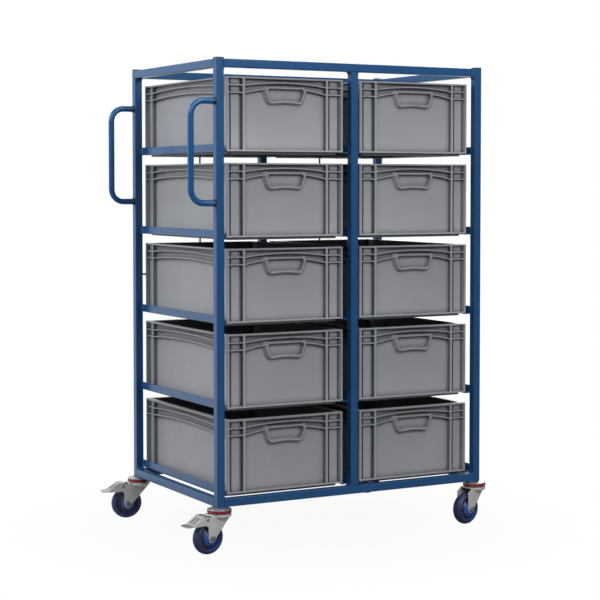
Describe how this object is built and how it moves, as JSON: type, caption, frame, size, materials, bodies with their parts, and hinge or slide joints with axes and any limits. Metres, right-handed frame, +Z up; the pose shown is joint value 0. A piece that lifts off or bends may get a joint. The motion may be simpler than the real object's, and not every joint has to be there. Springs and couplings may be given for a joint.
{
  "type": "mobile tray rack",
  "caption": "Welded square-tube rack on swivel castors holding two columns of stacking containers on angle runners, with push handles and braked castors on one end.",
  "frame": {"origin": "On the floor, under the middle of the overall box; the rack's own middle lies 45.07 mm towards +X because the brake pedals reach out on the left.", "axes": "+Z up, +X to the right seen from the open front, +Y from the front to the rear; the containers draw out along -Y."},
  "size_m": [1.0802, 0.6864, 1.464],
  "materials": {
    "frame_paint": "satin powder coat",
    "container_grey": "fine moulded grain",
    "zinc": "bright zinc plate",
    "red_seal": "smooth",
    "tyre_navy": "elastic rubber",
    "wheel_blue": "moulded",
    "black_plastic": "moulded"
  },
  "bodies": {
    "frame": {"post_front_left": "frame_paint", "post_front_middle": "frame_paint", "post_front_right": "frame_paint", "post_rear_left": "frame_paint", "post_rear_middle": "frame_paint", "post_rear_right": "frame_paint", "top_rail_front": "frame_paint", "top_rail_rear": "frame_paint", "top_rail_left": "frame_paint", "top_rail_right": "frame_paint", "base_rail_front": "frame_paint", "base_rail_rear": "frame_paint", "base_rail_left": "frame_paint", "base_rail_right": "frame_paint", "runners_tier_1": "frame_paint", "runners_tier_2": "frame_paint", "runners_tier_3": "frame_paint", "runners_tier_4": "frame_paint", "runners_tier_5": "frame_paint", "rear_stop_rods": "frame_paint", "push_handles": "frame_paint", "handle_collars": "black_plastic", "end_caps": "black_plastic", "castor_heads": "zinc", "castor_seals": "red_seal"},
    "container_left_1": {"container_left_1": "container_grey"},
    "container_left_2": {"container_left_2": "container_grey"},
    "container_left_3": {"container_left_3": "container_grey"},
    "container_left_4": {"container_left_4": "container_grey"},
    "container_left_5": {"container_left_5": "container_grey"},
    "container_right_1": {"container_right_1": "container_grey"},
    "container_right_2": {"container_right_2": "container_grey"},
    "container_right_3": {"container_right_3": "container_grey"},
    "container_right_4": {"container_right_4": "container_grey"},
    "container_right_5": {"container_right_5": "container_grey"},
    "swivel_front_left": {"fork_front_left": "zinc", "axle_front_left": "zinc", "pedal_pin_front_left": "zinc"},
    "wheel_front_left": {"wheel_centre_front_left": "wheel_blue", "tyre_front_left": "tyre_navy"},
    "brake_front_left": {"brake_pedal_front_left": "zinc"},
    "swivel_front_right": {"fork_front_right": "zinc", "axle_front_right": "zinc"},
    "wheel_front_right": {"wheel_centre_front_right": "wheel_blue", "tyre_front_right": "tyre_navy"},
    "swivel_rear_left": {"fork_rear_left": "zinc", "axle_rear_left": "zinc", "pedal_pin_rear_left": "zinc"},
    "wheel_rear_left": {"wheel_centre_rear_left": "wheel_blue", "tyre_rear_left": "tyre_navy"},
    "brake_rear_left": {"brake_pedal_rear_left": "zinc"},
    "swivel_rear_right": {"fork_rear_right": "zinc", "axle_rear_right": "zinc"},
    "wheel_rear_right": {"wheel_centre_rear_right": "wheel_blue", "tyre_rear_right": "tyre_navy"}
  },
  "joints": [
    {"name": "container_left_1_slide", "type": "slide", "parent": "frame", "child": "container_left_1", "axis": [0, -1, 0], "range_m": [0, 0.65]},
    {"name": "container_left_2_slide", "type": "slide", "parent": "frame", "child": "container_left_2", "axis": [0, -1, 0], "range_m": [0, 0.65]},
    {"name": "container_left_3_slide", "type": "slide", "parent": "frame", "child": "container_left_3", "axis": [0, -1, 0], "range_m": [0, 0.65]},
    {"name": "container_left_4_slide", "type": "slide", "parent": "frame", "child": "container_left_4", "axis": [0, -1, 0], "range_m": [0, 0.65]},
    {"name": "container_left_5_slide", "type": "slide", "parent": "frame", "child": "container_left_5", "axis": [0, -1, 0], "range_m": [0, 0.65]},
    {"name": "container_right_1_slide", "type": "slide", "parent": "frame", "child": "container_right_1", "axis": [0, -1, 0], "range_m": [0, 0.65]},
    {"name": "container_right_2_slide", "type": "slide", "parent": "frame", "child": "container_right_2", "axis": [0, -1, 0], "range_m": [0, 0.65]},
    {"name": "container_right_3_slide", "type": "slide", "parent": "frame", "child": "container_right_3", "axis": [0, -1, 0], "range_m": [0, 0.65]},
    {"name": "container_right_4_slide", "type": "slide", "parent": "frame", "child": "container_right_4", "axis": [0, -1, 0], "range_m": [0, 0.65]},
    {"name": "container_right_5_slide", "type": "slide", "parent": "frame", "child": "container_right_5", "axis": [0, -1, 0], "range_m": [0, 0.65]},
    {"name": "swivel_front_left_turn", "type": "hinge", "parent": "frame", "child": "swivel_front_left", "pos_m": [-0.41343, -0.3005, 0.12], "axis": [0, 0, 1], "continuous": true},
    {"name": "wheel_front_left_roll", "type": "hinge", "parent": "swivel_front_left", "child": "wheel_front_left", "pos_m": [-0.45492, -0.30707, 0.05], "axis": [-0.1564, 0.9877, 0], "continuous": true},
    {"name": "brake_front_left_press", "type": "hinge", "parent": "swivel_front_left", "child": "brake_front_left", "pos_m": [-0.47072, -0.30957, 0.1075], "axis": [0.1564, -0.9877, 0], "range_deg": [0, 12]},
    {"name": "swivel_front_right_turn", "type": "hinge", "parent": "frame", "child": "swivel_front_right", "pos_m": [0.50357, -0.3005, 0.12], "axis": [0, 0, 1], "continuous": true},
    {"name": "wheel_front_right_roll", "type": "hinge", "parent": "swivel_front_right", "child": "wheel_front_right", "pos_m": [0.46281, -0.31066, 0.05], "axis": [-0.2419, 0.9703, 0], "continuous": true},
    {"name": "swivel_rear_left_turn", "type": "hinge", "parent": "frame", "child": "swivel_rear_left", "pos_m": [-0.41343, 0.3005, 0.12], "axis": [0, 0, 1], "continuous": true},
    {"name": "wheel_rear_left_roll", "type": "hinge", "parent": "swivel_rear_left", "child": "wheel_rear_left", "pos_m": [-0.45492, 0.30707, 0.05], "axis": [0.1564, 0.9877, 0], "continuous": true},
    {"name": "brake_rear_left_press", "type": "hinge", "parent": "swivel_rear_left", "child": "brake_rear_left", "pos_m": [-0.47072, 0.30957, 0.1075], "axis": [-0.1564, -0.9877, 0], "range_deg": [0, 12]},
    {"name": "swivel_rear_right_turn", "type": "hinge", "parent": "frame", "child": "swivel_rear_right", "pos_m": [0.50357, 0.3005, 0.12], "axis": [0, 0, 1], "continuous": true},
    {"name": "wheel_rear_right_roll", "type": "hinge", "parent": "swivel_rear_right", "child": "wheel_rear_right", "pos_m": [0.46172, 0.29684, 0.05], "axis": [-0.0872, 0.9962, 0], "continuous": true}
  ]
}
